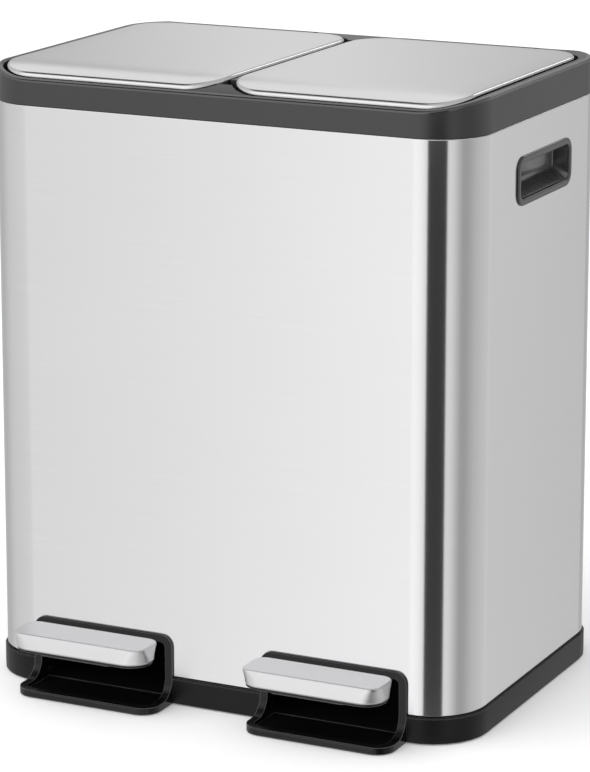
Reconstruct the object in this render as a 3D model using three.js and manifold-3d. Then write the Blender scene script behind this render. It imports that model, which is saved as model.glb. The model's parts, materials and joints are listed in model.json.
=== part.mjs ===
// Double recycling bin with two pedals, two lids and two inner buckets.
//
// Millimetres, +Z up, +X to the right, -Y towards the user. Every piece is drawn about the
// centre line of the body; the last lines move the whole bin so that its origin is the middle
// of its footprint on the floor.

import * as THREE from 'three';
import { mergeVertices } from 'three/addons/utils/BufferGeometryUtils.js';
import Module from 'manifold-3d';

const wasm = await Module();
wasm.setup();

// ---------------------------------------------------------------- driving dimensions

const BODY = { width: 533.7, depth: 363.5, radius: 57.3 };   // outside of the steel
const SHEET = 0.6;                                             // steel of the body and the lids
const GAP = 0.3;                                               // between pieces that touch

const FLOOR_GAP = 1.0;         // the feet lift the base this much
const BASE_TOP = 27.5;         // top of the base ring
const BASE_STEP = 2.5;         // the base ring stands out this much from the steel
const BASE_FLOOR = 4.0;        // top of the base floor
const DECK_TOP = 77.3;         // the buckets stand here
const STEEL_TOP = 600.0;       // where the steel ends and the rim starts
const RIM_TOP = 635.3;         // crease of the rim at the sides
const RIM_DRAFT = 1.2;         // the rim leans in this much
const WELL_FLOOR = 607.0;      // ledge below the lids
const DIP = { start: -122, depth: 11, power: 2.3 };          // the top rolls down at the front
const ROLL = { start: 170, radius: 22 };                     // and is rounded at the rear

const LID = {
  width: 248.2, front: -172, rear: 152, radius: 38,
  centre: 128.4,               // left and right of the middle
  groove: 4.5,                 // open groove around the lid
  skirt: 632.6,                // lower edge of the steel
  edge: 634.5,                 // where the rounded edge starts
  top: 638.4,
};
const HINGE = {
  y: 165, z: 631.8, barrel: 4.7, pin: 2.0, width: 151,
  left: -132.5, right: 118.3,  // middle of each hinge
  lug: 11,                     // length of pin held at each end
};

const PEDAL = {
  centre: 129, width: 150, front: -243, rear: -197, radius: 22,
  bottom: 55.5, top: 72, trim: 52.8,
};
const HOUSING = { width: 159, top: 72.5, face: -184.2, front: -229.5, back: -170, wall: 8, lip: 8 };
const LEVER = { pivotY: 0, pivotZ: 38, pin: 4.0, arm: 38.3, thick: 4 };
const ROD = { y: 148.6, radius: 3, bottom: 30, top: 596, foot: 20.3 };
const CRANK = { length: 18.9, swing: 85 };                    // degrees, half before level
const BUCKET = { width: 220, front: -158, rear: 134, centre: 121, top: 598, radius: 20, wall: 2 };
const HANDLE = { y: 8, z: 540.5, width: 140, height: 49, radius: 14, lip: 7, depth: 27 };
const FEET = [[-235, -135], [235, -135], [-235, 135], [235, 135], [0, -150], [0, 140]];

// ---------------------------------------------------------------- materials

function material(color, roughness, metalness) {
  return new THREE.MeshStandardMaterial({ color, roughness, metalness });
}

const STEEL = material(0xc6c7c9, 0.34, 1.0);
const WIRE = material(0x9c9ea1, 0.4, 1.0);
const RIM = material(0x4e4e50, 0.55, 0.0);
const BLACK = material(0x1f1f21, 0.5, 0.0);
const BASE = material(0x333335, 0.55, 0.0);
const INNER = material(0x3b3c3f, 0.6, 0.0);
const RUBBER = material(0x18181a, 0.85, 0.0);

// ---------------------------------------------------------------- solids

function toManifold(geometry) {
  const bare = geometry.clone();
  bare.deleteAttribute('normal');
  bare.deleteAttribute('uv');
  const merged = mergeVertices(bare, 1e-4);
  return new wasm.Manifold(new wasm.Mesh({
    numProp: 3,
    vertProperties: new Float32Array(merged.attributes.position.array),
    triVerts: new Uint32Array(merged.index.array),
  }));
}

function toGeometry(manifold) {
  const mesh = manifold.getMesh();
  const geometry = new THREE.BufferGeometry();
  geometry.setAttribute('position', new THREE.BufferAttribute(mesh.vertProperties, 3));
  geometry.setIndex(new THREE.BufferAttribute(mesh.triVerts, 1));
  return geometry;
}

function combine(operation, geometries) {
  return toGeometry(geometries.map(toManifold).reduce((a, b) => a[operation](b)));
}

const join = (...pieces) => combine('add', pieces);
const cut = (...pieces) => combine('subtract', pieces);
const common = (...pieces) => combine('intersect', pieces);

// Rounded rectangle, counter-clockwise, as points. The radii are rear right, rear left,
// front left and front right, or one number.
function rounded(width, depth, radius, cx = 0, cy = 0, segments = 8) {
  const radii = Array.isArray(radius) ? radius : [radius, radius, radius, radius];
  const corners = [[1, 1], [-1, 1], [-1, -1], [1, -1]];
  return corners.flatMap(([sx, sy], i) => {
    const r = Math.max(radii[i], 0.01);
    const x = cx + sx * (width / 2 - r);
    const y = cy + sy * (depth / 2 - r);
    return Array.from({ length: segments + 1 }, (_, k) => {
      const angle = (i + k / segments) * Math.PI / 2;
      return new THREE.Vector2(x + r * Math.cos(angle), y + r * Math.sin(angle));
    });
  });
}

// A rounded rectangle between two x and two y, drawn in by an inset.
function frame(x0, x1, y0, y1, radius, inset = 0, segments = 8) {
  return rounded(x1 - x0 - 2 * inset, y1 - y0 - 2 * inset, radius - inset,
    (x0 + x1) / 2, (y0 + y1) / 2, segments);
}

const body = (inset, segments = 7) => rounded(
  BODY.width - 2 * inset, BODY.depth - 2 * inset, BODY.radius - inset, 0, 0, segments);

function extrude(points, depth) {
  const shape = new THREE.Shape(points.map((p) => (Array.isArray(p) ? new THREE.Vector2(...p) : p)));
  return new THREE.ExtrudeGeometry(shape, { depth, bevelEnabled: false, curveSegments: 8 });
}

// Prisms along Z from an (x, y) outline, along X from (y, z) and along Y from (x, z).
function prism(points, z0, z1) {
  return extrude(points, z1 - z0).translate(0, 0, z0);
}

// Turns a piece that was drawn up along Z so that it points along X, from x0.
function turnToX(geometry, x0) {
  return geometry.applyMatrix4(new THREE.Matrix4().set(0, 0, 1, x0, 1, 0, 0, 0, 0, 1, 0, 0, 0, 0, 0, 1));
}

function prismX(points, x0, x1) {
  return turnToX(extrude(points, x1 - x0), x0);
}

function prismY(points, y0, y1) {
  const turn = new THREE.Matrix4().set(1, 0, 0, 0, 0, 0, -1, y1, 0, 1, 0, 0, 0, 0, 0, 1);
  return extrude(points, y1 - y0).applyMatrix4(turn);
}

function box(x0, x1, y0, y1, z0, z1) {
  return new THREE.BoxGeometry(x1 - x0, y1 - y0, z1 - z0)
    .translate((x0 + x1) / 2, (y0 + y1) / 2, (z0 + z1) / 2);
}

function rodX(radius, x0, x1, y, z, segments = 14) {
  return new THREE.CylinderGeometry(radius, radius, x1 - x0, segments)
    .rotateZ(Math.PI / 2).translate((x0 + x1) / 2, y, z);
}

function rodZ(radius, z0, z1, x, y, segments = 14) {
  return new THREE.CylinderGeometry(radius, radius, z1 - z0, segments)
    .rotateX(Math.PI / 2).translate(x, y, (z0 + z1) / 2);
}

// A turned piece from (radius, z) points that start and end on the axis.
function turned(profile, x, y, segments = 14) {
  const points = profile.map(([r, z]) => new THREE.Vector2(r, z));
  return new THREE.LatheGeometry(points, segments).rotateX(Math.PI / 2).translate(x, y, 0);
}

// Closed skin through a stack of rings with the same number of points: [points, z] each.
// The first and the last ring are capped, so a cup goes up outside and down inside.
function tower(rings) {
  const count = rings[0][0].length;
  const positions = rings.flatMap(([points, z]) => points.flatMap((p) => [p.x, p.y, z]));
  const index = [];
  for (let r = 0; r + 1 < rings.length; r += 1) {
    for (let i = 0; i < count; i += 1) {
      const j = (i + 1) % count;
      const [a, b] = [r * count + i, r * count + j];
      index.push(a, b, b + count, a, b + count, a + count);
    }
  }
  const cap = (ring, flip) => THREE.ShapeUtils.triangulateShape(rings[ring][0], [])
    .forEach(([a, b, c]) => index.push(...[a, flip ? c : b, flip ? b : c].map((k) => ring * count + k)));
  cap(0, true);
  cap(rings.length - 1, false);
  const geometry = new THREE.BufferGeometry();
  geometry.setAttribute('position', new THREE.Float32BufferAttribute(positions, 3));
  geometry.setIndex(index);
  return geometry;
}

// Quarter round of an edge as [inset, height] steps, from the wall to the top.
function quarter(radius, steps) {
  return Array.from({ length: steps + 1 }, (_, i) => {
    const angle = (i / steps) * Math.PI / 2;
    return [radius * (1 - Math.cos(angle)), radius * Math.sin(angle)];
  });
}

// How far the top of the bin lies below its flat middle: it rolls down at the front, and a
// little at the rear.
function drop(y) {
  const along = THREE.MathUtils.clamp((DIP.start - y) / (DIP.start + BODY.depth / 2), 0, 1);
  const behind = Math.max(y - ROLL.start, 0);
  return DIP.depth * along ** DIP.power + ROLL.radius - Math.sqrt(ROLL.radius ** 2 - behind ** 2);
}

// Everything above the well floor follows the roll of the top.
function dip(geometry) {
  const p = geometry.attributes.position;
  for (let i = 0; i < p.count; i += 1) {
    const share = THREE.MathUtils.clamp((p.getZ(i) - WELL_FLOOR) / (RIM_TOP - WELL_FLOOR), 0, 1);
    p.setZ(i, p.getZ(i) - drop(p.getY(i)) * share);
  }
  return geometry;
}

// ---------------------------------------------------------------- body

function outerShell() {
  const middle = HOUSING.top / 2;
  const pedalCut = (x) => prismY(rounded(HOUSING.width - 5, HOUSING.top + 40 - 2.5, 10, x,
    middle - 21.2), -BODY.depth / 2 - 5, -BODY.depth / 2 + 5);
  const handle = rounded(HANDLE.width - 11, HANDLE.height - 11, 9, HANDLE.y, HANDLE.z, 5);
  const seam = box(-0.5, 0.5, BODY.depth / 2 - 0.25, BODY.depth / 2 + 1, 0, 700);
  return cut(
    prism(body(0), BASE_TOP + 0.4, STEEL_TOP - 0.4),
    prism(body(SHEET), 0, 700),
    pedalCut(-PEDAL.centre), pedalCut(PEDAL.centre),
    prismX(handle, -BODY.width, BODY.width),
    seam,
  );
}

const lidFrame = (side, inset, segments = 5) => frame(
  side * LID.centre - LID.width / 2, side * LID.centre + LID.width / 2,
  LID.front, LID.rear, LID.radius, inset, segments);

const bucketHole = (side) => frame(
  side * BUCKET.centre - BUCKET.width / 2 - 4, side * BUCKET.centre + BUCKET.width / 2 + 4,
  BUCKET.front - 4, BUCKET.rear + 4, BUCKET.radius + 2, 0, 5);

// The rim is a moulded channel: outer wall, top face, wall of the lid wells and their floor.
function topRim() {
  const sides = [-1, 1];
  const outer = tower([
    [body(0), STEEL_TOP],
    [body(RIM_DRAFT), RIM_TOP - 1],
    [body(RIM_DRAFT + 1), RIM_TOP],
    [body(RIM_DRAFT + 4.5), RIM_TOP],
  ]);
  const wells = sides.map((s) => prism(lidFrame(s, -LID.groove), WELL_FLOOR, 700));
  const around = sides.map((s) => prism(lidFrame(s, -LID.groove - 2.5), 500, 700));
  const hollow = cut(prism(body(3.8), STEEL_TOP - 1, RIM_TOP - 3), ...around);
  const below = prism(body(3.8), STEEL_TOP - 1, WELL_FLOOR - 3);
  const spigot = cut(prism(body(SHEET + 0.4), 585, WELL_FLOOR - 2), prism(body(3.8), 500, 700));
  const holes = sides.map((s) => prism(bucketHole(s), 500, 700));
  const rodSlots = sides.map((s) => box(s * PEDAL.centre - 9, s * PEDAL.centre + 9,
    BUCKET.rear, HINGE.y - 6, 500, 700));
  const hinges = [HINGE.left, HINGE.right];
  const notches = hinges.map((x) => box(x - HINGE.width / 2 - 0.5, x + HINGE.width / 2 + 0.5,
    LID.rear - 6, HINGE.y + 5.7, WELL_FLOOR, 700));
  const lugs = hinges.flatMap((x) => sides.map((s) => {
    const start = x + s * (HINGE.width / 2 + 0.5);
    const end = start + s * (HINGE.lug + 3);
    return box(Math.min(start, end), Math.max(start, end), LID.rear + 5, HINGE.y + 9, 620, RIM_TOP - 2);
  }));
  const bores = hinges.map((x) => rodX(HINGE.pin + 0.35,
    x - HINGE.width / 2 - HINGE.lug - 0.5, x + HINGE.width / 2 + HINGE.lug + 0.5, HINGE.y, HINGE.z, 16));
  const bar = box(-3.5, 3.5, -140, 128, WELL_FLOOR - 2, RIM_TOP - 0.6);
  const tips = [box(-14, 14, -157, -130, WELL_FLOOR, 700), box(-9, 9, 112, 136, WELL_FLOOR, 700)];
  const channel = join(cut(outer, ...wells, hollow, below, ...tips), spigot, bar, ...lugs);
  return dip(cut(channel, ...holes, ...rodSlots, ...notches, ...bores));
}

// Black cup that hooks over the side of the steel; fingers go in and up.
function handleCup() {
  const wall = BODY.width / 2;
  const ring = (shrink, radius) => rounded(
    HANDLE.width - 2 * shrink, HANDLE.height - 2 * shrink, radius, HANDLE.y, HANDLE.z, 5);
  const flange = turnToX(tower([[0, GAP], [0, 1.1], [0.7, 1.8], [2.4, 2.3]]
    .map(([shrink, out]) => [ring(shrink, HANDLE.radius - shrink), out])), wall);
  const cup = prismX(ring(6, 9), wall - HANDLE.depth, wall + 1);
  const top = HANDLE.z + HANDLE.height / 2 - HANDLE.lip;
  const foot = HANDLE.z - HANDLE.height / 2 + HANDLE.lip;
  const back = wall - HANDLE.depth + 2;
  const side = prismY([
    [wall + 4, foot - 0.5], [wall + 4, top + 2], [wall, top], [back, top + 3], [back, foot + 15],
    [back + 6, foot + 10], [wall, foot],
  ], -100, 100);
  return cut(join(flange, cup), common(prismX(ring(HANDLE.lip, 7), back - 1, wall + 5), side));
}

// ---------------------------------------------------------------- base

function baseTray() {
  const shell = tower([
    [body(-BASE_STEP + 1.5), FLOOR_GAP],
    [body(-BASE_STEP + 0.4), FLOOR_GAP + 0.5],
    [body(-BASE_STEP), FLOOR_GAP + 2],
    [body(-BASE_STEP), BASE_TOP - 0.8],
    [body(-BASE_STEP + 0.8), BASE_TOP],
  ]);
  const upstand = prism(body(SHEET + 0.4), 10, BASE_TOP + 14);
  const inside = prism(body(SHEET + 2.9), BASE_FLOOR, 100);
  const bays = [-1, 1].flatMap((s) => {
    const x = s * PEDAL.centre;
    const half = HOUSING.width / 2;
    return [
      box(x - half - 0.4, x + half + 0.4, -200, -BODY.depth / 2 - 0.2, -5, 100),
      box(x - half + 2.6, x + half - 2.6, -200, HOUSING.back + 0.4, -5, 100),
    ];
  });
  const posts = [-1, 1].flatMap((s) => [-1, 1].map((t) => {
    const x = s * PEDAL.centre + t * 48;
    const profile = [[-20, BASE_FLOOR - 1], [20, BASE_FLOOR - 1], [11, 42], [7, 48], [-7, 48], [-11, 42]];
    return prismX(profile, x - 4, x + 4);
  }));
  const bores = [-1, 1].map((s) => rodX(LEVER.pin + 0.4, s * PEDAL.centre - 60, s * PEDAL.centre + 60,
    LEVER.pivotY, LEVER.pivotZ));
  const columns = FEET.map(([x, y]) => rodZ(8, BASE_FLOOR - 1, DECK_TOP - 3 - GAP, x, y, 10));
  const ribs = [-212, -34, 34, 212].map((x) => box(x - 1.25, x + 1.25, -168, 174, BASE_FLOOR - 1, 16));
  const sockets = FEET.map(([x, y]) => rodZ(4.5, -1, 9, x, y, 10));
  const walls = cut(join(shell, upstand), inside);
  return cut(join(walls, ...columns, ...ribs, ...posts), ...bays, ...bores, ...sockets);
}

function foot(x, y) {
  return turned([[0, 0], [8, 0], [9, FLOOR_GAP - GAP], [4, FLOOR_GAP - GAP], [4, 8.5], [0, 8.5]], x, y, 10);
}

function bucketDeck() {
  const plate = prism(body(SHEET + 3.4), DECK_TOP - 3, DECK_TOP);
  const lip = cut(prism(body(SHEET + 3.4), DECK_TOP - 6.5, DECK_TOP - 2),
    prism(body(SHEET + 5.4), 0, 200));
  const holes = [-1, 1].map((s) => rodZ(9, 0, 200, s * PEDAL.centre, ROD.y));
  return cut(join(plate, lip), ...holes);
}

// ---------------------------------------------------------------- pedals

function pedalHousing() {
  const half = HOUSING.width / 2;
  const { face, front, back, top, lip, wall } = HOUSING;
  const sweep = new THREE.Path();
  sweep.moveTo(back, FLOOR_GAP);
  sweep.lineTo(back, top);
  sweep.lineTo(face + 1, top);
  sweep.lineTo(face, top - 1);
  sweep.lineTo(face, lip + 20);
  sweep.absarc(face - 20, lip + 20, 20, 0, -Math.PI / 2, true);
  sweep.lineTo(front + 1, lip);
  sweep.lineTo(front, lip - 1.5);
  sweep.lineTo(front, FLOOR_GAP);
  const profile = sweep.getPoints(6).reverse();
  const plan = frame(-half, half, front, back + 60, 19, 0, 6);
  const arch = frame(-half, half, -60, top, 13, 0, 5);
  const block = common(prismX(profile, -half, half), prism(plan, -1, 100), prismY(arch, -300, -100));
  const cavity = cut(
    common(prism(frame(-half + wall, half - wall, front + wall, 60, 11, 0, 5), FLOOR_GAP + 2.5, 100),
      prismY(frame(-half + wall, half - wall, -60, top - wall, 6, 0, 4), -300, -100)),
    box(-half, half, -100, 0, -1, 200),
  );
  const neck = cut(
    box(-half - 1, half + 1, -BODY.depth / 2 - GAP, back + 1, -5, 100),
    prismY(frame(-half + 3, half - 3, -60, top - 3, 10, 0, 5), -300, -100),
  );
  return cut(block, cavity, neck);
}

const pedalOutline = (inset, segments = 5) => frame(
  -PEDAL.width / 2, PEDAL.width / 2, PEDAL.front, PEDAL.rear, PEDAL.radius, inset, segments);

// Block with the pedal's outline and a rounded top edge, drawn in by an inset all over.
function pedalBlock(inset, bottom) {
  const edge = 5;
  return tower([
    [pedalOutline(inset), bottom],
    ...quarter(edge, 3).map(([i, h]) => [pedalOutline(inset + i * 0.98), PEDAL.top - inset - edge + h]),
  ]);
}

function pedalCap() {
  const notch = LEVER.arm + 6;
  return cut(pedalBlock(0, PEDAL.bottom), pedalBlock(1, 40),
    box(-notch, notch, PEDAL.rear - 5, PEDAL.rear + 5, 40, PEDAL.top - 5));
}

function pedalBody() {
  const trim = prism(pedalOutline(0.6), PEDAL.trim, PEDAL.bottom - GAP);
  const lip = box(-38, 38, PEDAL.front + 0.9, PEDAL.front + 3, PEDAL.trim - 1, PEDAL.bottom - 1);
  const hollow = prism(pedalOutline(4), 40, PEDAL.top - 5);
  const slots = [-1, 1].map((s) => box(s * LEVER.arm - 3, s * LEVER.arm + 3, PEDAL.rear - 8,
    PEDAL.rear + 5, 40, PEDAL.top - 5.4));
  const ribs = [-50, 0, 50].map((x) => box(x - 1, x + 1, PEDAL.front + 3, PEDAL.rear - 3,
    PEDAL.trim + 3, PEDAL.top - 4));
  const webSlot = box(-LEVER.arm - 3, LEVER.arm + 3, PEDAL.front + 8, PEDAL.rear + 5, 57, 63.6);
  return cut(join(cut(join(trim, pedalBlock(1.35, 54), lip), hollow), ...ribs), ...slots, webSlot);
}

// Steel lever: two plates and three webs, from under the pedal to the foot of the rod.
function pedalLever() {
  const { pivotY: y, pivotZ: z, arm, thick } = LEVER;
  const boss = 12;
  const profile = [
    [-230, 57.5], [-190, 50.5], [y - 30, z - 4], [y - 9, z - boss + 2], [y, z - boss], [y + 14, z - 11],
    [138, 9.5], [158, 9.5], [160, 12], [160, 17.5], [158, 20], [140, 20],
    [y + 13, z + 7], [y + 8, z + boss - 2.5], [y, z + boss], [y - 20, z + boss + 1], [-192, 63.3],
    [-196, 66], [-230, 66],
  ];
  const plates = [-1, 1].map((s) => prismX(profile, s * arm - thick / 2, s * arm + thick / 2));
  const pad = box(-arm, arm, 140, 157, 17, 20);
  const bridge = cut(box(-arm, arm, -150, -60, 51.5, 54.5),
    box(-arm + 12, arm - 12, -135, -75, 40, 70));
  const tongue = box(-arm, arm, -230, -206, 60, 63);
  return cut(join(...plates, pad, bridge, tongue), rodX(LEVER.pin + 0.4, -60, 60, y, z));
}

function pivotPin() {
  const { pivotY: y, pivotZ: z, pin } = LEVER;
  return join(rodX(pin, -54.5, 52.4, y, z), rodX(pin + 2.5, 52.4, 54.6, y, z));
}

// ---------------------------------------------------------------- rods

function liftRod() {
  return rodZ(ROD.radius, ROD.bottom, ROD.top, 0, ROD.y);
}

function rodFoot() {
  const bore = ROD.radius + 0.4;
  const z = ROD.foot;
  return turned([[0, z], [3.5, z + 0.5], [6, z + 2.2], [7, z + 5], [7, 47], [6, 48.5], [bore, 48.5],
    [bore, ROD.bottom - 0.4], [0, ROD.bottom - 0.4]], 0, ROD.y);
}

const CRANK_START = THREE.MathUtils.degToRad(CRANK.swing / 2);
const CRANK_PIN = {
  y: HINGE.y - CRANK.length * Math.cos(CRANK_START),
  z: HINGE.z - CRANK.length * Math.sin(CRANK_START),
};

// The fork on top of the rod: its slot lets the crank pin move back and forth.
function rodFork() {
  const bore = ROD.radius + 0.4;
  const neck = turned([[0, ROD.top + 0.4], [bore, ROD.top + 0.4], [bore, 586], [5.5, 586], [5.5, 615],
    [0, 615]], 0, ROD.y);
  const eye = (halfLength, halfHeight) => rounded(2 * halfLength, 2 * halfHeight, halfHeight - 0.1,
    ROD.y, CRANK_PIN.z, 4);
  return cut(join(neck, prismX(eye(9, 6.6), -5.5, 5.5)), prismX(eye(6, 3.5), -10, 10));
}

// Moulded guard that keeps the bags off the rod.
function rodCover() {
  const y0 = BUCKET.rear + 3;
  const y1 = BODY.depth / 2 - SHEET - 0.4;
  const wide = 15;
  const ear = 24;
  const wall = 2;
  return prism([
    [-wide, y0], [wide, y0], [wide, y1 - wall], [ear, y1 - wall], [ear, y1], [wide - wall, y1],
    [wide - wall, y0 + wall], [wall - wide, y0 + wall], [wall - wide, y1], [-ear, y1],
    [-ear, y1 - wall], [-wide, y1 - wall],
  ], DECK_TOP + GAP, 578);
}

// ---------------------------------------------------------------- lids

// Rings of a lid from its lower edge over the rounded edge to the crown.
function lidRings(inset, bottom) {
  const round = 3.5;
  const edge = quarter(round, 3).map(([i, h]) => [i, LID.edge + h]);
  const crown = [8, 17, 29].map((i) => [i, LID.top - 0.4 * (1 - (i - round) / 26) ** 2]);
  return [[0, bottom], ...edge, ...crown].map(([i, z], n) => [
    frame(-LID.width / 2, LID.width / 2, LID.front, LID.rear, LID.radius, i + inset, 5),
    n ? z - inset : z,
  ]);
}

function lidCover(hingeX) {
  const half = HINGE.width / 2 + 0.6;
  return dip(cut(
    tower(lidRings(0, LID.skirt)),
    tower(lidRings(SHEET, LID.skirt - 5)),
    box(hingeX - half, hingeX + half, LID.rear - 6, LID.rear + 5, 600, 636.9),
  ));
}

// Plastic inner lid: a ribbed pan below the steel, with the leaf and barrel of its hinge.
function lidLiner(hingeX) {
  const inset = SHEET + 0.35;
  const half = HINGE.width / 2;
  const wall = 2.5;
  const [floor, leafUnder, leafTop] = [627, HINGE.z + 0.3, 636.5];
  const leafFront = 138;
  const ring = (i, z) => [frame(-LID.width / 2, LID.width / 2, LID.front, LID.rear, LID.radius,
    inset + i, 5), z - (z > floor + wall ? inset : 0)];
  const reach = [29, 14];
  const pan = tower([
    ...reach.map((i) => ring(i, floor)),
    ring(0, floor),
    ...quarter(3.5, 2).slice(0, 2).map(([i, h]) => ring(i, LID.edge + h)),
    ring(wall, LID.edge + 3.1),
    ring(wall, floor + wall),
    ...reach.toReversed().map((i) => ring(i, floor + wall)),
  ]);
  const ribs = [
    ...[-42, 42].map((x) => box(x - 0.8, x + 0.8, LID.front + 40, leafFront, floor + 1, LID.top - 1.6)),
    ...[-60, 60].map((y) => box(-LID.width / 2 + 3, LID.width / 2 - 3, y - 0.8, y + 0.8, floor + 1,
      LID.top - 1.6)),
  ];
  const leaf = box(hingeX - half, hingeX + half, leafFront, HINGE.y, leafUnder, leafTop);
  const apron = box(hingeX - half - 2, hingeX + half + 2, leafFront - wall, leafFront + 2, floor + 1,
    leafTop);
  const barrel = rodX(HINGE.barrel, hingeX - half, hingeX + half, HINGE.y, HINGE.z, 16);
  const bore = rodX(HINGE.pin + 0.4, hingeX - half - 5, hingeX + half + 5, HINGE.y, HINGE.z, 12);
  const under = box(hingeX - half - 2, hingeX + half + 2, leafFront + 2, 160, 600, leafUnder);
  const ribbed = join(pan, ...ribs, apron);
  return dip(cut(join(cut(ribbed, under), leaf, barrel), bore));
}

function lidCrank() {
  const { y, z } = CRANK_PIN;
  const top = HINGE.z;
  const eye = new THREE.Path();
  eye.moveTo(141, top - 2);
  eye.absarc(y, z, 4.2, Math.PI * 1.08, Math.PI * 1.95, false);
  eye.lineTo(159, top - 2);
  const cheek = eye.getPoints(6);
  return join(
    box(-12, 12, 141, 159, top - 2.6, top),
    prismX(cheek, -10.8, -7.2),
    prismX(cheek, 7.2, 10.8),
    rodX(2.5, -10, 10, y, z),
  );
}

function hingePin() {
  const half = HINGE.width / 2 + HINGE.lug;
  return rodX(HINGE.pin, -half, half, HINGE.y, HINGE.z);
}

function bumper(x) {
  return dip(rodZ(4, WELL_FLOOR + GAP, 627 - GAP, x, LID.front + 2.9, 12));
}

// ---------------------------------------------------------------- buckets

function bucket() {
  const { width, front, rear, top, radius, wall } = BUCKET;
  const ring = (inset) => frame(-width / 2, width / 2, front, rear, radius, inset, 4);
  const foot = DECK_TOP + GAP;
  return tower([
    [ring(11), foot], [ring(8.5), foot + 3], [ring(4), top - 14], [ring(1), top - 14], [ring(0), top - 12],
    [ring(0), top - 2], [ring(1.5), top], [ring(4.5), top], [ring(6), top - 2],
    [ring(4 + wall), top - 14], [ring(8.5 + wall), foot + 5], [ring(11 + wall), foot + 3],
  ]);
}

// ---------------------------------------------------------------- assembly

const bin = new THREE.Group();

function add(name, geometry, look, x = 0, mirrored = false) {
  const mesh = new THREE.Mesh(geometry, look);
  mesh.name = name;
  mesh.position.x = x;
  mesh.scale.x = mirrored ? -1 : 1;
  bin.add(mesh);
}

add('outer_shell', outerShell(), STEEL);
add('top_rim', topRim(), RIM);
add('base_tray', baseTray(), BASE);
add('bucket_deck', bucketDeck(), INNER);
FEET.forEach(([x, y], i) => add(`foot_${i + 1}`, foot(x, y), RUBBER));

for (const [side, sign] of [['left', -1], ['right', 1]]) {
  const pedalX = sign * PEDAL.centre;
  const lidX = sign * LID.centre;
  add(`${side}_handle_cup`, handleCup(), BLACK, 0, sign < 0);
  add(`${side}_pedal_housing`, pedalHousing(), BLACK, pedalX);
  add(`${side}_pedal_cap`, pedalCap(), STEEL, pedalX);
  add(`${side}_pedal_body`, pedalBody(), BLACK, pedalX);
  add(`${side}_pedal_lever`, pedalLever(), WIRE, pedalX);
  add(`${side}_pivot_pin`, pivotPin(), WIRE, pedalX);
  add(`${side}_lift_rod`, liftRod(), WIRE, pedalX);
  add(`${side}_rod_foot`, rodFoot(), INNER, pedalX);
  add(`${side}_rod_fork`, rodFork(), INNER, pedalX);
  add(`${side}_rod_cover`, rodCover(), INNER, pedalX);
  add(`${side}_lid_cover`, lidCover(HINGE[side] - lidX), STEEL, lidX);
  add(`${side}_lid_liner`, lidLiner(HINGE[side] - lidX), RIM, lidX);
  add(`${side}_lid_crank`, lidCrank(), BLACK, pedalX);
  add(`${side}_hinge_pin`, hingePin(), WIRE, HINGE[side]);
  add(`${side}_bumper_outer`, bumper(sign * 85), RUBBER, lidX);
  add(`${side}_bumper_inner`, bumper(sign * -85), RUBBER, lidX);
  add(`${side}_bucket`, bucket(), INNER, sign * BUCKET.centre);
}

// Origin at the middle of the footprint: the pedals reach furthest forward.
const back = BODY.depth / 2 + BASE_STEP;
bin.position.y = -(PEDAL.front + back) / 2;

export default bin;
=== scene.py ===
"""Looks of the double recycling bin: fine surfaces, materials, studio and camera.

Metres, +Z up, +X to the right, -Y towards the user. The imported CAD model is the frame: sizes
are read from its nodes, and the few numbers below are forms that a box doesn't tell.
"""
import json
import math

import bpy
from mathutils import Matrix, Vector
from mathutils.geometry import delaunay_2d_cdt

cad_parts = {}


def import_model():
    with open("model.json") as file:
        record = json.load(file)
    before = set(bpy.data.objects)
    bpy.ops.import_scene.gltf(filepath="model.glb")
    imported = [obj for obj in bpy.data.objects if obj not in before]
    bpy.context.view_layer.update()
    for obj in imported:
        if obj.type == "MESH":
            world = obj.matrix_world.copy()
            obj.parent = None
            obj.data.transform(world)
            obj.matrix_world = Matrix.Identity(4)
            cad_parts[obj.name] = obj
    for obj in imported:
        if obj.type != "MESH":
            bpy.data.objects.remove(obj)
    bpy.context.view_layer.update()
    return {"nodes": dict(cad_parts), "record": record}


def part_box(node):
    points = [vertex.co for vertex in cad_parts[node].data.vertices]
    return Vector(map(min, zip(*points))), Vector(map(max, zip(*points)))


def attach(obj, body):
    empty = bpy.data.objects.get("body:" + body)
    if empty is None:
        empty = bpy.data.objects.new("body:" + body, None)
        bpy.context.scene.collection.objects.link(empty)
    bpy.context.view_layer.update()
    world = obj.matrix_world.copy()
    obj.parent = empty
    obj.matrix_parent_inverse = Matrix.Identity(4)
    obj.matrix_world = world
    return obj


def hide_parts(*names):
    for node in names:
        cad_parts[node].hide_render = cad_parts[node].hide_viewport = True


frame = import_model()
NODES = frame["nodes"]

MM = 0.001
SIDES = (("left", -1), ("right", 1))

BODY_RADIUS = 57.3 * MM        # upright corners of the steel body
SHEET = 0.6 * MM               # its thickness
HANDLE_HOLE = (129 * MM, 38 * MM, 9 * MM)      # length, height, corner radius
HANDLE_BACK = 8 * MM           # the handle lies this far behind the body's middle
HANDLE_HEIGHT = 540.5 * MM     # height of its middle
SEAM = 0.4 * MM                # half the joint in the rear wall
PEDAL_HOLE_RADIUS = 10 * MM

LID_RADIUS = 38 * MM           # corners of a lid in plan
LID_ROUND = 3.5 * MM           # its rounded edge
LID_CROWN = 0.4 * MM           # rise towards the middle
WELL_FLOOR = 607 * MM          # below this height nothing follows the roll of the top
RIM_TOP = 635.3 * MM
FRONT_ROLL = (59.75 * MM, 11 * MM, 2.3)        # start behind the front, depth, power
REAR_ROLL = (11.75 * MM, 22 * MM)              # start before the rear, radius
SHARP = 32                     # degrees; a CAD edge over this stays sharp
HEM = 1.0 * MM                 # turned-in edges of the steel, above and below
HEM_GAP = 1.0 * MM             # dark joint between the steel and the base
BODY_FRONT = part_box("outer_shell")[0].y
BODY_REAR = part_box("outer_shell")[1].y


# ------------------------------------------------------------------ small helpers

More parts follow.
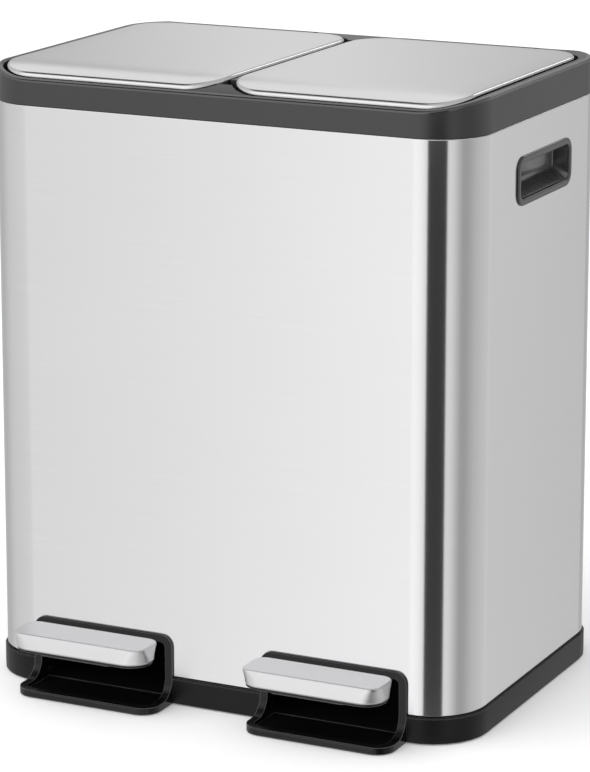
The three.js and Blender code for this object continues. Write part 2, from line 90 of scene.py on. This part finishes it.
def span(node):
    """Lowest and highest corner and the middle of a CAD node."""
    low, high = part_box(node)
    return low, high, (low + high) / 2


def mesh_object(name, vertices, faces, material, body, replaces=()):
    """A piece from vertices and faces, on a body, with its material and slot."""
    mesh = bpy.data.meshes.new(name)
    mesh.from_pydata([tuple(v) for v in vertices], [], faces)
    mesh.shade_smooth()
    mesh.update()
    piece = bpy.data.objects.new(name, mesh)
    bpy.context.scene.collection.objects.link(piece)
    piece.data.materials.append(MATERIALS[material])
    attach(piece, body)
    if replaces:
        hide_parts(*replaces)
    return piece


def rounded(x0, x1, y0, y1, radius, segments=16, runs=(20, 20)):
    """Rounded rectangle, counter-clockwise, with steps along its straight runs (x, y) too."""
    points = []
    radius = max(radius, 1e-5)
    corners = ((x1, y1, 0), (x0, y1, 90), (x0, y0, 180), (x1, y0, 270))
    for cx, cy, start in corners:
        centre = Vector((cx - math.copysign(radius, cx - (x0 + x1) / 2),
                         cy - math.copysign(radius, cy - (y0 + y1) / 2)))
        for step in range(segments + 1):
            angle = math.radians(start + 90 * step / segments)
            points.append(centre + radius * Vector((math.cos(angle), math.sin(angle))))
    outline = []
    for corner in range(4):
        arc = points[corner * (segments + 1):(corner + 1) * (segments + 1)]
        following = points[((corner + 1) * (segments + 1)) % len(points)]
        steps = runs[corner % 2]
        outline += arc
        outline += [arc[-1].lerp(following, k / steps) for k in range(1, steps)]
    return outline


def skin(rings, cap_first=False, cap_last=True):
    """Vertices and faces of a stack of rings with equal counts: [(points, z or z of point)]."""
    count = len(rings[0][0])
    vertices = [(p.x, p.y, z(p) if callable(z) else z) for points, z in rings for p in points]
    faces = []
    for ring in range(len(rings) - 1):
        for i in range(count):
            j = (i + 1) % count
            a, b = ring * count + i, ring * count + j
            faces.append((a, b, b + count, a + count))
    if cap_first:
        faces.append(tuple(range(count))[::-1])
    if cap_last:
        faces.append(tuple(range((len(rings) - 1) * count, len(rings) * count)))
    return vertices, faces


# ------------------------------------------------------------------ materials

MATERIALS = {}


class Nodes:
    """Short names for building a node tree."""

    def __init__(self, tree):
        self.tree = tree
        tree.nodes.clear()

    def add(self, kind, **settings):
        node = self.tree.nodes.new(kind)
        for key, value in settings.items():
            if key.startswith("in_"):
                name = key[3:]
                socket = node.inputs[int(name)] if name.isdigit() else node.inputs[name.replace("_", " ")]
                if isinstance(value, bpy.types.NodeSocket):
                    self.tree.links.new(value, socket)
                else:
                    socket.default_value = value
            else:
                setattr(node, key, value)
        return node

    def math(self, operation, a, b=0.0, c=0.0):
        return self.add("ShaderNodeMath", operation=operation, in_0=a, in_1=b, in_2=c).outputs[0]

    def place(self, scale):
        """Object coordinates, scaled by three numbers."""
        coordinates = self.add("ShaderNodeTexCoord").outputs["Object"]
        return self.add("ShaderNodeMapping", in_Vector=coordinates, in_Scale=scale).outputs[0]

    def noise(self, scale, detail=3.0, roughness=0.55):
        return self.add("ShaderNodeTexNoise", in_Vector=self.place(scale), in_Scale=1.0,
                        in_Detail=detail, in_Roughness=roughness).outputs["Fac"]

    def spread(self, value, low, high):
        """Noise from 0.3 to 0.7 mapped to low and high."""
        return self.add("ShaderNodeMapRange", in_0=value, in_1=0.3, in_2=0.7, in_3=low,
                        in_4=high).outputs[0]

    def tone(self, colour, value):
        """A colour times a varying grey value."""
        return self.add("ShaderNodeVectorMath", operation="SCALE", in_0=colour[:3],
                        in_Scale=value).outputs[0]


def new_material(name):
    material = bpy.data.materials.new(name)
    material.use_nodes = True
    MATERIALS[name] = material
    return Nodes(material.node_tree)


def finish_material(nodes, shader):
    nodes.add("ShaderNodeOutputMaterial", in_Surface=shader.outputs[0])


def brushed_steel(name, colour, roughness, grain, axis, turn, anisotropy=0.75, depth=0.02):
    """Steel with level scratches. grain is the noise's scale; axis and turn set the tangent."""
    nodes = new_material(name)
    streaks = nodes.noise(grain, detail=4.0, roughness=0.7)
    clouds = nodes.noise((5, 5, 5), detail=2.0)
    value = nodes.math("MULTIPLY", nodes.spread(streaks, 0.97, 1.02), nodes.spread(clouds, 0.99, 1.008))
    tangent = nodes.add("ShaderNodeTangent", direction_type="RADIAL", axis=axis)
    bump = nodes.add("ShaderNodeBump", in_Strength=depth, in_Distance=0.0001, in_Height=streaks)
    shader = nodes.add(
        "ShaderNodeBsdfPrincipled", in_Base_Color=nodes.tone(colour, value), in_Metallic=1.0,
        in_Roughness=nodes.spread(streaks, roughness * 0.93, roughness * 1.08),
        in_Anisotropic=anisotropy, in_Anisotropic_Rotation=turn, in_Tangent=tangent.outputs[0],
        in_Normal=bump.outputs[0])
    finish_material(nodes, shader)


def moulded(name, colour, roughness, grain=900.0, depth=0.06, specular=0.5, edge=0.6 * MM,
            edge_highlight=0.0, ior=1.5):
    """Moulded plastic: fine even grain, slightly uneven tone, eased edges painted paler as a painted
    highlight.
    """
    nodes = new_material(name)
    texture = nodes.noise((grain,) * 3, detail=2.0)
    clouds = nodes.noise((9, 9, 9), detail=3.0)
    eased = nodes.add("ShaderNodeBevel", samples=6, in_Radius=edge)
    flat = nodes.add("ShaderNodeNewGeometry").outputs["Normal"]
    facing = nodes.add("ShaderNodeVectorMath", operation="DOT_PRODUCT", in_0=eased.outputs[0],
                       in_1=flat).outputs["Value"]
    # Painted highlight: the colour turns paler where the eased normal leans away from the face, on convex
    # and concave edges alike.
    painted_highlight = nodes.add("ShaderNodeMapRange", in_0=facing, in_1=0.985, in_2=0.86, in_3=0.0,
                     in_4=edge_highlight).outputs[0]
    tone = nodes.add("ShaderNodeVectorMath", operation="ADD",
                     in_0=nodes.tone(colour, nodes.spread(clouds, 0.93, 1.07)),
                     in_1=nodes.tone((1, 1, 1), painted_highlight)).outputs[0]
    bump = nodes.add("ShaderNodeBump", in_Strength=depth, in_Distance=0.0001, in_Height=texture,
                     in_Normal=eased.outputs[0])
    shader = nodes.add(
        "ShaderNodeBsdfPrincipled", in_Base_Color=tone,
        in_Roughness=nodes.spread(clouds, roughness * 0.93, roughness * 1.07), in_IOR=ior,
        in_Specular_IOR_Level=specular, in_Normal=bump.outputs[0])
    finish_material(nodes, shader)


def plated(name, colour):
    """Zinc-plated lever steel: soft blotches, no brushing."""
    nodes = new_material(name)
    blotches = nodes.noise((60, 60, 60), detail=5.0)
    shader = nodes.add(
        "ShaderNodeBsdfPrincipled", in_Base_Color=nodes.tone(colour, nodes.spread(blotches, 0.9, 1.06)),
        in_Metallic=1.0, in_Roughness=nodes.spread(blotches, 0.3, 0.45))
    finish_material(nodes, shader)


brushed_steel("body_steel", (0.83, 0.83, 0.84), 0.2, (7, 7, 1900), "Z", 0.25, anisotropy=0.85,
              depth=0.006)
brushed_steel("lid_steel", (0.83, 0.83, 0.84), 0.2, (12, 1300, 12), "X", 0.0, anisotropy=0.3,
              depth=0.006)
brushed_steel("pedal_steel", (0.86, 0.86, 0.87), 0.42, (14, 1100, 1100), "X", 0.0, anisotropy=0.2,
              depth=0.01)
plated("lever_steel", (0.72, 0.73, 0.74))
moulded("rim_plastic", (0.016, 0.016, 0.017), 0.36, specular=0.9, edge=0.8 * MM)
moulded("rim_edge", (0.016, 0.016, 0.017), 0.16, specular=0.9, edge=0.2 * MM, ior=1.7)
# Where these plastics get a pale edge value, it paints a highlight along their eased edges.
moulded("liner_plastic", (0.06, 0.06, 0.063), 0.5, edge_highlight=0.03)
moulded("base_plastic", (0.010, 0.010, 0.011), 0.34, specular=0.4, edge=1.1 * MM, edge_highlight=0.14, ior=1.3)
moulded("housing_plastic", (0.006, 0.006, 0.007), 0.2, depth=0.01, specular=0.34, edge=1.1 * MM,
        edge_highlight=0.2)
moulded("cup_plastic", (0.012, 0.012, 0.013), 0.16, depth=0.02, specular=0.9, edge=0.4 * MM,
        ior=1.6)
# Inside of the grip: the cup's plastic painted lighter and made shinier, a lit copy that paints light onto
# the back wall and floor.
moulded("cup_inside", (0.035, 0.035, 0.036), 0.24, depth=0.02, specular=1.0, edge=0.2 * MM, ior=1.8)
moulded("inner_plastic", (0.035, 0.035, 0.037), 0.5, edge_highlight=0.02)
moulded("bucket_plastic", (0.07, 0.07, 0.073), 0.5, edge_highlight=0.04)
moulded("rubber", (0.02, 0.02, 0.02), 0.8)


def dress_cad_nodes():
    """Materials for the CAD nodes, smooth but for edges sharper than SHARP."""
    smooth = bpy.data.node_groups.new("smooth_by_angle", "GeometryNodeTree")
    smooth.interface.new_socket("Geometry", in_out="INPUT", socket_type="NodeSocketGeometry")
    smooth.interface.new_socket("Geometry", in_out="OUTPUT", socket_type="NodeSocketGeometry")
    tree = Nodes(smooth)
    source = tree.add("NodeGroupInput")
    welded = tree.add("GeometryNodeMergeByDistance", in_Geometry=source.outputs[0], in_Distance=1e-5)
    angle = tree.add("GeometryNodeInputMeshEdgeAngle")
    sharp = tree.add("FunctionNodeCompare", operation="GREATER_THAN", in_0=angle.outputs[0],
                     in_1=math.radians(SHARP))
    smoothed = tree.add("GeometryNodeSetShadeSmooth", domain="FACE", in_Geometry=welded.outputs[0])
    normals = tree.add("GeometryNodeSetMeshNormal", mode="SHARPNESS", in_Mesh=smoothed.outputs[0],
                       in_Remove_Custom=True, in_Edge_Sharpness=sharp.outputs[0],
                       in_Face_Sharpness=False)
    tree.add("NodeGroupOutput", in_0=normals.outputs[0])
    slots = {row["node"]: row["material_slot"] for row in frame["record"]["subparts"]}
    for name, node in NODES.items():
        node.data.materials.clear()
        node.data.materials.append(MATERIALS[slots[name]])
        node.modifiers.new("smooth", "NODES").node_group = smooth
        node.visible_glossy = name.split("_", 1)[1] not in ("pedal_body", "pedal_lever")


# ------------------------------------------------------------------ body

def panel(outline, holes, place):
    """A flat sheet with holes: plane points to triangles, put in place by a function."""
    points, edges = [], []
    for loop in [outline] + holes:
        first = len(points)
        points += [Vector(p) for p in loop]
        edges += [(first + i, first + (i + 1) % len(loop)) for i in range(len(loop))]
    verts, _, faces, *_ = delaunay_2d_cdt(points, edges, [], 1, 1e-7)

    def inside(p, loop):
        hit = False
        for a, b in zip(loop, loop[1:] + loop[:1]):
            if (a[1] > p.y) != (b[1] > p.y):
                hit ^= p.x < (b[0] - a[0]) * (p.y - a[1]) / (b[1] - a[1]) + a[0]
        return hit

    kept = [f for f in faces
            if not any(inside(sum((verts[i] for i in f), Vector((0, 0))) / len(f), h) for h in holes)]
    return [place(v) for v in verts], [tuple(f) for f in kept]


def arch(side):
    """Opening in the steel for a pedal: left, right and top edge, under the housing's flange."""
    a, b, _ = span(f"{side}_pedal_housing")
    clear = 2.5 * MM
    return a.x + clear, b.x - clear, b.z - clear


def band(name, profile, material):
    """A strip round the body, [(inset, z)] upwards, that leaves the pedals' openings free."""
    low, high, _ = span("outer_shell")
    rings = [(rounded(low.x + i, high.x - i, low.y + i, high.y - i, BODY_RADIUS - i, 24, (4, 140)),
              z) for i, z in profile]
    vertices, faces = skin(rings, cap_last=False)

    def covered(face):
        middle = sum((Vector(vertices[i]) for i in face), Vector()) / len(face)
        if middle.y > low.y + 5 * MM:
            return False
        return any(a < middle.x < b and middle.z < top for a, b, top in map(arch, ("left", "right")))

    faces = [f for f in faces if not covered(f)]
    return mesh_object(name, vertices, faces, material, "chassis", ["outer_shell"])


def hems():
    """Turned-in edges of the steel and the dark joint below it."""
    low, high, _ = span("outer_shell")
    turn = [(0.0, 1.0), (0.1 * MM, 0.6), (0.35 * MM, 0.25), (0.9 * MM, 0.0)]
    upper = [(i, high.z - HEM * share) for i, share in turn]
    lower = [(i, low.z + HEM_GAP + HEM * share) for i, share in reversed(turn)]
    band("hem_top", upper, "body_steel")
    band("hem_bottom", lower, "body_steel")
    band("base_joint", [(0.9 * MM, low.z), (0.9 * MM, low.z + HEM_GAP)], "housing_plastic")


def body_sheet():
    """The steel wrap: four flat panels and four round corners, with exact normals."""
    low, high, middle = span("outer_shell")
    z0, z1, radius = low.z + HEM_GAP + HEM, high.z - HEM, BODY_RADIUS
    vertices, faces, normals = [], [], []

    def take(points, polygons, normal_of):
        first = len(vertices)
        vertices.extend(points)
        faces.extend(tuple(first + i for i in f) for f in polygons)
        normals.extend(normal_of(p) for p in points)

    def flat(outline, holes, place, normal):
        points, polygons = panel(outline, holes, place)
        polygons = [f if (points[f[1]] - points[f[0]]).cross(points[f[2]] - points[f[0]]).dot(normal) > 0
                    else f[::-1] for f in polygons]
        take(points, polygons, lambda p: normal)

    # front, with an opening from below for each pedal
    left, right = arch("left"), arch("right")
    outline = [(low.x + radius, z0)]
    for x0, x1, top in (left, right):
        r = PEDAL_HOLE_RADIUS
        outline += [(x0, z0)]
        outline += [(x0 + r - r * math.cos(t), top - r + r * math.sin(t))
                    for t in (math.radians(9 * k) for k in range(11))]
        outline += [(x1 - r + r * math.sin(t), top - r + r * math.cos(t))
                    for t in (math.radians(9 * k) for k in range(11))]
        outline += [(x1, z0)]
    outline += [(high.x - radius, z0), (high.x - radius, z1), (low.x + radius, z1)]
    flat(outline, [], lambda p: Vector((p.x, low.y, p.y)), Vector((0, -1, 0)))

    # sides, each with the opening for its handle
    for side, sign in SIDES:
        length, height, corner = HANDLE_HOLE
        y, z = middle.y + HANDLE_BACK, HANDLE_HEIGHT
        hole = [(p.x, p.y) for p in rounded(y - length / 2, y + length / 2, z - height / 2,
                                            z + height / 2, corner, 10, (1, 1))]
        outline = [(low.y + radius, z0), (high.y - radius, z0), (high.y - radius, z1),
                   (low.y + radius, z1)]
        x = high.x if sign > 0 else low.x
        flat(outline, [hole], lambda p, x=x: Vector((x, p.x, p.y)), Vector((sign, 0, 0)))

    # rear, in two halves that meet at the seam
    for sign in (-1, 1):
        ends = sorted((sign * SEAM, sign * (high.x - radius)))
        outline = [(ends[0], z0), (ends[1], z0), (ends[1], z1), (ends[0], z1)]
        flat(outline, [], lambda p: Vector((p.x, high.y, p.y)), Vector((0, 1, 0)))
    strip = 4 * MM
    flat([(-strip, z0), (strip, z0), (strip, z1), (-strip, z1)], [],
         lambda p: Vector((p.x, high.y - 0.5 * MM, p.y)), Vector((0, 1, 0)))

    # corners
    segments = 40
    for sx, sy, start in ((1, 1, 0), (-1, 1, 90), (-1, -1, 180), (1, -1, 270)):
        centre = Vector((sx * (high.x - radius), middle.y + sy * ((high.y - low.y) / 2 - radius), 0))
        points = []
        for step in range(segments + 1):
            angle = math.radians(start + 90 * step / segments)
            out = Vector((math.cos(angle), math.sin(angle), 0)) * radius
            points += [centre + out + Vector((0, 0, z)) for z in (z0, z1)]
        quads = [(2 * k, 2 * k + 2, 2 * k + 3, 2 * k + 1) for k in range(segments)]
        take(points, quads, lambda p, c=centre: Vector((p.x - c.x, p.y - c.y, 0)).normalized())

    # the inside of the sheet, seen through the openings and when a lid is up
    outer = len(vertices)
    inner = [Vector(v) - n * SHEET for v, n in zip(vertices, normals)]
    faces += [tuple(outer + i for i in f[::-1]) for f in faces[:]]
    vertices += inner
    normals += [-n for n in normals]
    sheet = mesh_object("body_sheet", vertices, faces, "body_steel", "chassis", ["outer_shell"])
    sheet.data.normals_split_custom_set_from_vertices([tuple(n) for n in normals])
    return sheet


# ------------------------------------------------------------------ lids

def roll(y):
    """How far the top lies below its flat middle, at a depth y."""
    start, depth, power = FRONT_ROLL
    along = min(max((BODY_FRONT + start - y) / start, 0), 1)
    behind = max(y - BODY_REAR + REAR_ROLL[0], 0)
    return depth * along ** power + REAR_ROLL[1] - math.sqrt(REAR_ROLL[1] ** 2 - behind ** 2)


def dipped(y, z):
    share = min(max((z - WELL_FLOOR) / (RIM_TOP - WELL_FLOOR), 0), 1)
    return z - roll(y) * share


def lid_skin(side):
    """The pressed steel of a lid: skirt, rounded edge, nearly flat crown."""
    low, high, _ = span(f"{side}_lid_cover")
    top = 638.4 * MM
    edge = 634.5 * MM
    skirt = 632.6 * MM
    steps = 12
    profile = [(0.0, skirt)]
    for k in range(steps + 1):
        angle = math.radians(90 * k / steps)
        profile.append((LID_ROUND * (1 - math.cos(angle)), edge + LID_ROUND * math.sin(angle)))
    crown = [5, 7, 10, 13, 16, 20, 24, 29]
    profile += [(i * MM, top - LID_CROWN * (1 - (i * MM - LID_ROUND) / (26 * MM)) ** 2) for i in crown]
    profile += [(i * MM, top) for i in (36, 44, 54, 66, 80, 95, 108, 120)]
    rings = [(rounded(low.x + i, high.x - i, low.y + i, high.y - i, LID_RADIUS - i, 14, (20, 40)),
              lambda p, z=z: dipped(p.y, z)) for i, z in profile]
    vertices, faces = skin(rings)
    return mesh_object(f"{side}_lid_skin", vertices, faces, "lid_steel", f"{side}_lid",
                       [f"{side}_lid_cover"])


def rim_edge():
    """The rim's rounded upper edge and the face between it and the lids."""
    low, high, _ = span("top_rim")
    draft, radius, proud = 1.2 * MM, 1.6 * MM, 0.1 * MM
    profile = [(draft - proud - 0.05 * MM, RIM_TOP - 3 * MM)]
    for k in range(9):
        angle = math.radians(90 * k / 8)
        profile.append((draft - proud + radius * (1 - math.cos(angle)),
                        RIM_TOP + proud - radius * (1 - math.sin(angle))))
    profile += [(i * MM, RIM_TOP + proud) for i in (3.2, 4.4, 5.5)]
    rings = [(rounded(low.x + i, high.x - i, low.y + i, high.y - i, BODY_RADIUS - i, 24, (40, 12)),
              lambda p, z=z: dipped(p.y, z)) for i, z in profile]
    vertices, faces = skin(rings, cap_last=False)
    return mesh_object("rim_edge", vertices, faces, "rim_edge", "chassis")


# ------------------------------------------------------------------ pedals and handle cups

def pedal_skin(side):
    """Steel cap of a pedal: round corners at its lower edge that tighten towards the flat top."""
    low, high, middle = span(f"{side}_pedal_cap")
    round_low, round_high = 22 * MM, 12 * MM
    edge, draft = 2.2 * MM, 0.8 * MM
    steps = 8
    profile = [(0.9 * MM, high.z - 4 * MM, round_low - 1 * MM), (0.9 * MM, low.z, round_low - 1 * MM)]
    for k in range(steps + 1):
        share = k / steps
        profile.append((draft * share ** 2, low.z + (high.z - edge - low.z) * share,
                        round_low + (round_high - round_low) * share ** 1.5))
    for k in range(1, 6):
        angle = math.radians(18 * k)
        profile.append((draft + edge * (1 - math.cos(angle)), high.z - edge * (1 - math.sin(angle)),
                        round_high - edge * (1 - math.cos(angle)) * 0.8))
    for inset in (4 * MM, 8 * MM, 16 * MM):
        profile.append((inset, high.z, max(round_high - inset, 1 * MM)))
    rings = [(rounded(low.x + i, high.x - i, low.y + i, high.y - i, r, 12, (8, 30)), z)
             for i, z, r in profile]
    vertices, faces = skin(rings)
    notch = 44 * MM

    def open_rear(face):
        mid = sum((Vector(vertices[i]) for i in face), Vector()) / len(face)
        return mid.y > high.y - 3 * MM and abs(mid.x - middle.x) < notch and mid.z < high.z - 5 * MM

    faces = [f for f in faces if not open_rear(f)]
    cap = mesh_object(f"{side}_pedal_skin", vertices, faces, "pedal_steel", f"{side}_pedal",
                      [f"{side}_pedal_cap"])
    cap.visible_glossy = False
    return cap


def cup_skin(side, sign):
    """Moulded grip in a side wall: rounded lip, sloping floor, flat back."""
    low, high, middle = span(f"{side}_handle_cup")
    shell_low, shell_high, _ = span("outer_shell")
    wall = shell_high.x if sign > 0 else -shell_low.x
    lip_out = max(abs(low.x), abs(high.x)) - wall
    lip = 7 * MM
    half_y, half_z = (high.y - low.y) / 2, (high.z - low.z) / 2
    depth = 17 * MM

    def outline(shrink, radius, raise_top=0.0, raise_foot=0.0):
        return rounded(middle.y - half_y + shrink, middle.y + half_y - shrink,
                       middle.z - half_z + shrink + raise_foot,
                       middle.z + half_z - shrink + raise_top, radius, 10, (6, 16))

    outer, foot_out, side_out = 14 * MM, 0.2 * MM, 0.7 * MM
    rings = [(outline(0, outer), foot_out), (outline(0, outer), side_out)]
    steps = 14
    lip_faces = (steps + 1) * len(rings[0][0])
    for k in range(1, steps + 1):
        angle = math.radians(180 * k / steps)
        across = lip / 2 * (1 - math.cos(angle)) * 0.97
        out = side_out + (lip_out - side_out) * math.sin(angle) ** 0.8 if k < steps else 0.0
        rings.append((outline(across, outer - across), out))
    for share, top, foot in ((0.06, 0.1, 0.6), (0.12, 0.3, 1.2), (0.5, 1, 5), (0.9, 2, 9),
                             (0.95, 2, 9.8)):
        rings.append((outline(lip, 7 * MM, top * MM, foot * MM), -share * depth))
    rings.append((outline(lip + 0.3 * MM, 6.7 * MM, 1.9 * MM, 10.3 * MM), -0.98 * depth))
    rings.append((outline(lip + 0.9 * MM, 6.1 * MM, 1.8 * MM, 10.6 * MM), -depth))
    vertices, faces = skin(rings)
    vertices = [(sign * (wall + h), u, v) for u, v, h in vertices]
    if sign < 0:
        faces = [f[::-1] for f in faces]
    cup = mesh_object(f"{side}_cup_skin", vertices, faces, "cup_plastic", "chassis",
                      [f"{side}_handle_cup"])
    # The grip's inside faces take the lighter copy of its plastic: painted light.
    cup.data.materials.append(MATERIALS["cup_inside"])
    for face in cup.data.polygons:
        face.material_index = int(face.index >= lip_faces)
    return cup


# ------------------------------------------------------------------ studio and camera

# The studio that gloss sees, all round at eye level: (degrees from the front towards the right,
# brightness). Bright diffuser front left, soft box on the right.
AROUND = (
    (-180, 0.50), (-151, 0.52), (-111, 0.50), (-81, 0.68), (-40, 0.74), (-30.5, 0.80), (-27, 0.95),
    (-22, 1.12), (-13, 1.10), (-4, 1.02), (4, 0.86), (24, 0.78), (36, 0.80), (42, 0.82),
    (48, 0.82), (57, 0.74), (66, 0.56), (76, 0.38), (86, 0.38), (107, 0.53), (127, 0.60),
    (145, 0.64), (153, 0.69), (157, 0.72), (158.5, 0.66), (161, 0.46), (169, 0.45), (180, 0.50),
)
# The same a little higher up, where the lids look.
ABOVE = (
    (-180, 0.50), (-165, 0.50), (-159, 0.52), (-154, 0.80), (-149, 0.50), (-140, 0.48), (-90, 0.60),
    (-40, 0.80), (-20, 0.85), (10, 0.80), (40, 0.55), (90, 0.50), (130, 0.50), (150, 0.40),
    (166, 0.30), (180, 0.50),
)
# Cards and lamps: azimuth and half width, height and half height, soft margin, brightness.
CARDS = (
    (-26, 26, 34, 10, 5, 1.15),     # soft box front left, above the bin
    (-147, 22, 40, 11, 5, 0.86),    # white card that the front roll shows
    (-101, 45, 62, 7, 3, 0.04),     # black flag above it, drawn as a line on the edges
    (168, 4, 24, 4, 2, 2.4),        # strip lamp behind, on the right
)
# Edges of the corner's dark stripe: where the corner faces, and where a ray goes on from there.
STRIPE = ((16, 6), (35, 44))
FLAG_DISTANCE = 0.17           # from the corner to its black card
FLAG_HEIGHTS = (-0.1, 0.63)
LEVEL = 0.85                   # even light for everything but gloss
OVERHEAD = 0.5                 # brightness straight up and down in the studio


def world():
    scene_world = bpy.data.worlds.new("studio")
    bpy.context.scene.world = scene_world
    scene_world.use_nodes = True
    nodes = Nodes(scene_world.node_tree)
    direction = nodes.add("ShaderNodeTexCoord").outputs["Generated"]
    part = nodes.add("ShaderNodeSeparateXYZ", in_0=direction).outputs
    azimuth = nodes.math("DEGREES", nodes.math("ARCTAN2", part[0], nodes.math("MULTIPLY", part[1], -1.0)))
    height = nodes.math("DEGREES", nodes.math("ARCSINE", part[2]))
    share = nodes.math("MULTIPLY_ADD", azimuth, 1 / 360, 0.5)

    def ramp(table):
        node = nodes.add("ShaderNodeValToRGB", in_Fac=share)
        stops = node.color_ramp.elements
        stops.remove(stops[-1])
        for index, (angle, value) in enumerate(table):
            stop = stops[0] if index == 0 else stops.new((angle + 180) / 360)
            stop.position = (angle + 180) / 360
            stop.color = (value, value, value, 1)
        return node.outputs[0]

    def fade(value, start, end):
        return nodes.add("ShaderNodeMapRange", interpolation_type="SMOOTHSTEP", in_0=value,
                         in_1=start, in_2=end, in_3=0.0, in_4=1.0).outputs[0]

    def blend(factor, below, above):
        return nodes.math("MULTIPLY_ADD", factor, nodes.math("SUBTRACT", above, below), below)

    def window(value, centre, half, soft):
        away = nodes.math("ABSOLUTE", nodes.math("SUBTRACT", value, centre))
        return fade(away, half + soft, half)

    studio = blend(fade(height, -2, 8), ramp(AROUND), ramp(ABOVE))
    studio = blend(fade(nodes.math("ABSOLUTE", height), 42, 68), studio, OVERHEAD)
    for centre, half, level, tall, soft, value in CARDS:
        there = nodes.math("MULTIPLY", window(azimuth, centre, half, soft),
                           window(height, level, tall, soft))
        studio = blend(there, studio, value)
    rays = nodes.add("ShaderNodeLightPath").outputs
    seen = blend(rays["Is Glossy Ray"], LEVEL, studio)
    clear = nodes.math("MAXIMUM", rays["Is Camera Ray"], rays["Is Transmission Ray"])
    strength = blend(clear, seen, 1.0)
    background = nodes.add("ShaderNodeBackground", in_Color=(1, 1, 1, 1), in_Strength=strength)
    nodes.add("ShaderNodeOutputWorld", in_Surface=background.outputs[0])


def floor():
    """Pale floor, lifted to white for the camera; the object's shadow stays on it."""
    nodes = new_material("floor")
    plain = nodes.add("ShaderNodeBsdfDiffuse", in_Color=(0.92, 0.92, 0.92, 1))
    rays = nodes.add("ShaderNodeLightPath").outputs
    lift = nodes.add("ShaderNodeEmission", in_Strength=nodes.math("MULTIPLY", rays["Is Camera Ray"], 0.16))
    finish_material(nodes, nodes.add("ShaderNodeAddShader", in_0=plain.outputs[0], in_1=lift.outputs[0]))
    size = 12.0
    mesh = bpy.data.meshes.new("floor")
    mesh.from_pydata([(-size, -size, 0), (size, -size, 0), (size, size, 0), (-size, size, 0)], [],
                     [(0, 1, 2, 3)])
    mesh.materials.append(MATERIALS["floor"])
    plane = bpy.data.objects.new("floor", mesh)
    bpy.context.scene.collection.objects.link(plane)
    plane.visible_glossy = False


def corner_flag():
    """Narrow black card beside the front right corner, for gloss alone: the corner's dark stripe.

    A ray that leaves the corner at one edge of the stripe ends at that edge of the card.
    """
    nodes = new_material("flag")
    finish_material(nodes, nodes.add("ShaderNodeEmission", in_Color=(0.042, 0.042, 0.042, 1)))
    low, high, _ = span("outer_shell")
    centre = Vector((high.x - BODY_RADIUS, low.y + BODY_RADIUS))
    ends = []
    for facing, seen in STRIPE:
        start, away = (Vector((math.sin(math.radians(a)), -math.cos(math.radians(a))))
                       for a in (facing, seen))
        ends.append(centre + BODY_RADIUS * start + FLAG_DISTANCE * away)
    (ax, ay), (bx, by) = ends
    mesh = bpy.data.meshes.new("flag")
    foot, head = FLAG_HEIGHTS
    mesh.from_pydata([(ax, ay, foot), (bx, by, foot), (bx, by, head), (ax, ay, head)], [],
                     [(0, 1, 2, 3)])
    mesh.materials.append(MATERIALS["flag"])
    card = bpy.data.objects.new("flag", mesh)
    bpy.context.scene.collection.objects.link(card)
    card.visible_camera = card.visible_diffuse = card.visible_shadow = False
    card.visible_transmission = False


def lamp():
    """One large soft lamp overhead, front left, for matt surfaces only."""
    data = bpy.data.lights.new("key", "SUN")
    data.energy = 0.9
    data.angle = math.radians(50)
    key = bpy.data.objects.new("key", data)
    bpy.context.scene.collection.objects.link(key)
    key.rotation_euler = (math.radians(25), math.radians(-22), 0)
    key.visible_glossy = False


def camera():
    data = bpy.data.cameras.new("camera")
    data.lens = 160.8
    data.sensor_width = 36.0
    data.shift_y = -0.12
    data.clip_end = 50
    eye = bpy.data.objects.new("camera", data)
    bpy.context.scene.collection.objects.link(eye)
    target = Vector((-0.0013, 0.0287, 0.3925))
    turn, tilt, distance = math.radians(25.957), math.radians(12.838), 3.53
    back = Vector((math.sin(turn) * math.cos(tilt), -math.cos(turn) * math.cos(tilt), math.sin(tilt)))
    eye.location = target + back * distance
    eye.rotation_euler = (-back).to_track_quat("-Z", "Y").to_euler()
    bpy.context.scene.camera = eye


dress_cad_nodes()
body_sheet()
for side, sign in SIDES:
    lid_skin(side)
    pedal_skin(side)
    cup_skin(side, sign)
hems()
rim_edge()
world()
floor()
corner_flag()
lamp()
camera()
bpy.context.scene.view_settings.view_transform = "Standard"
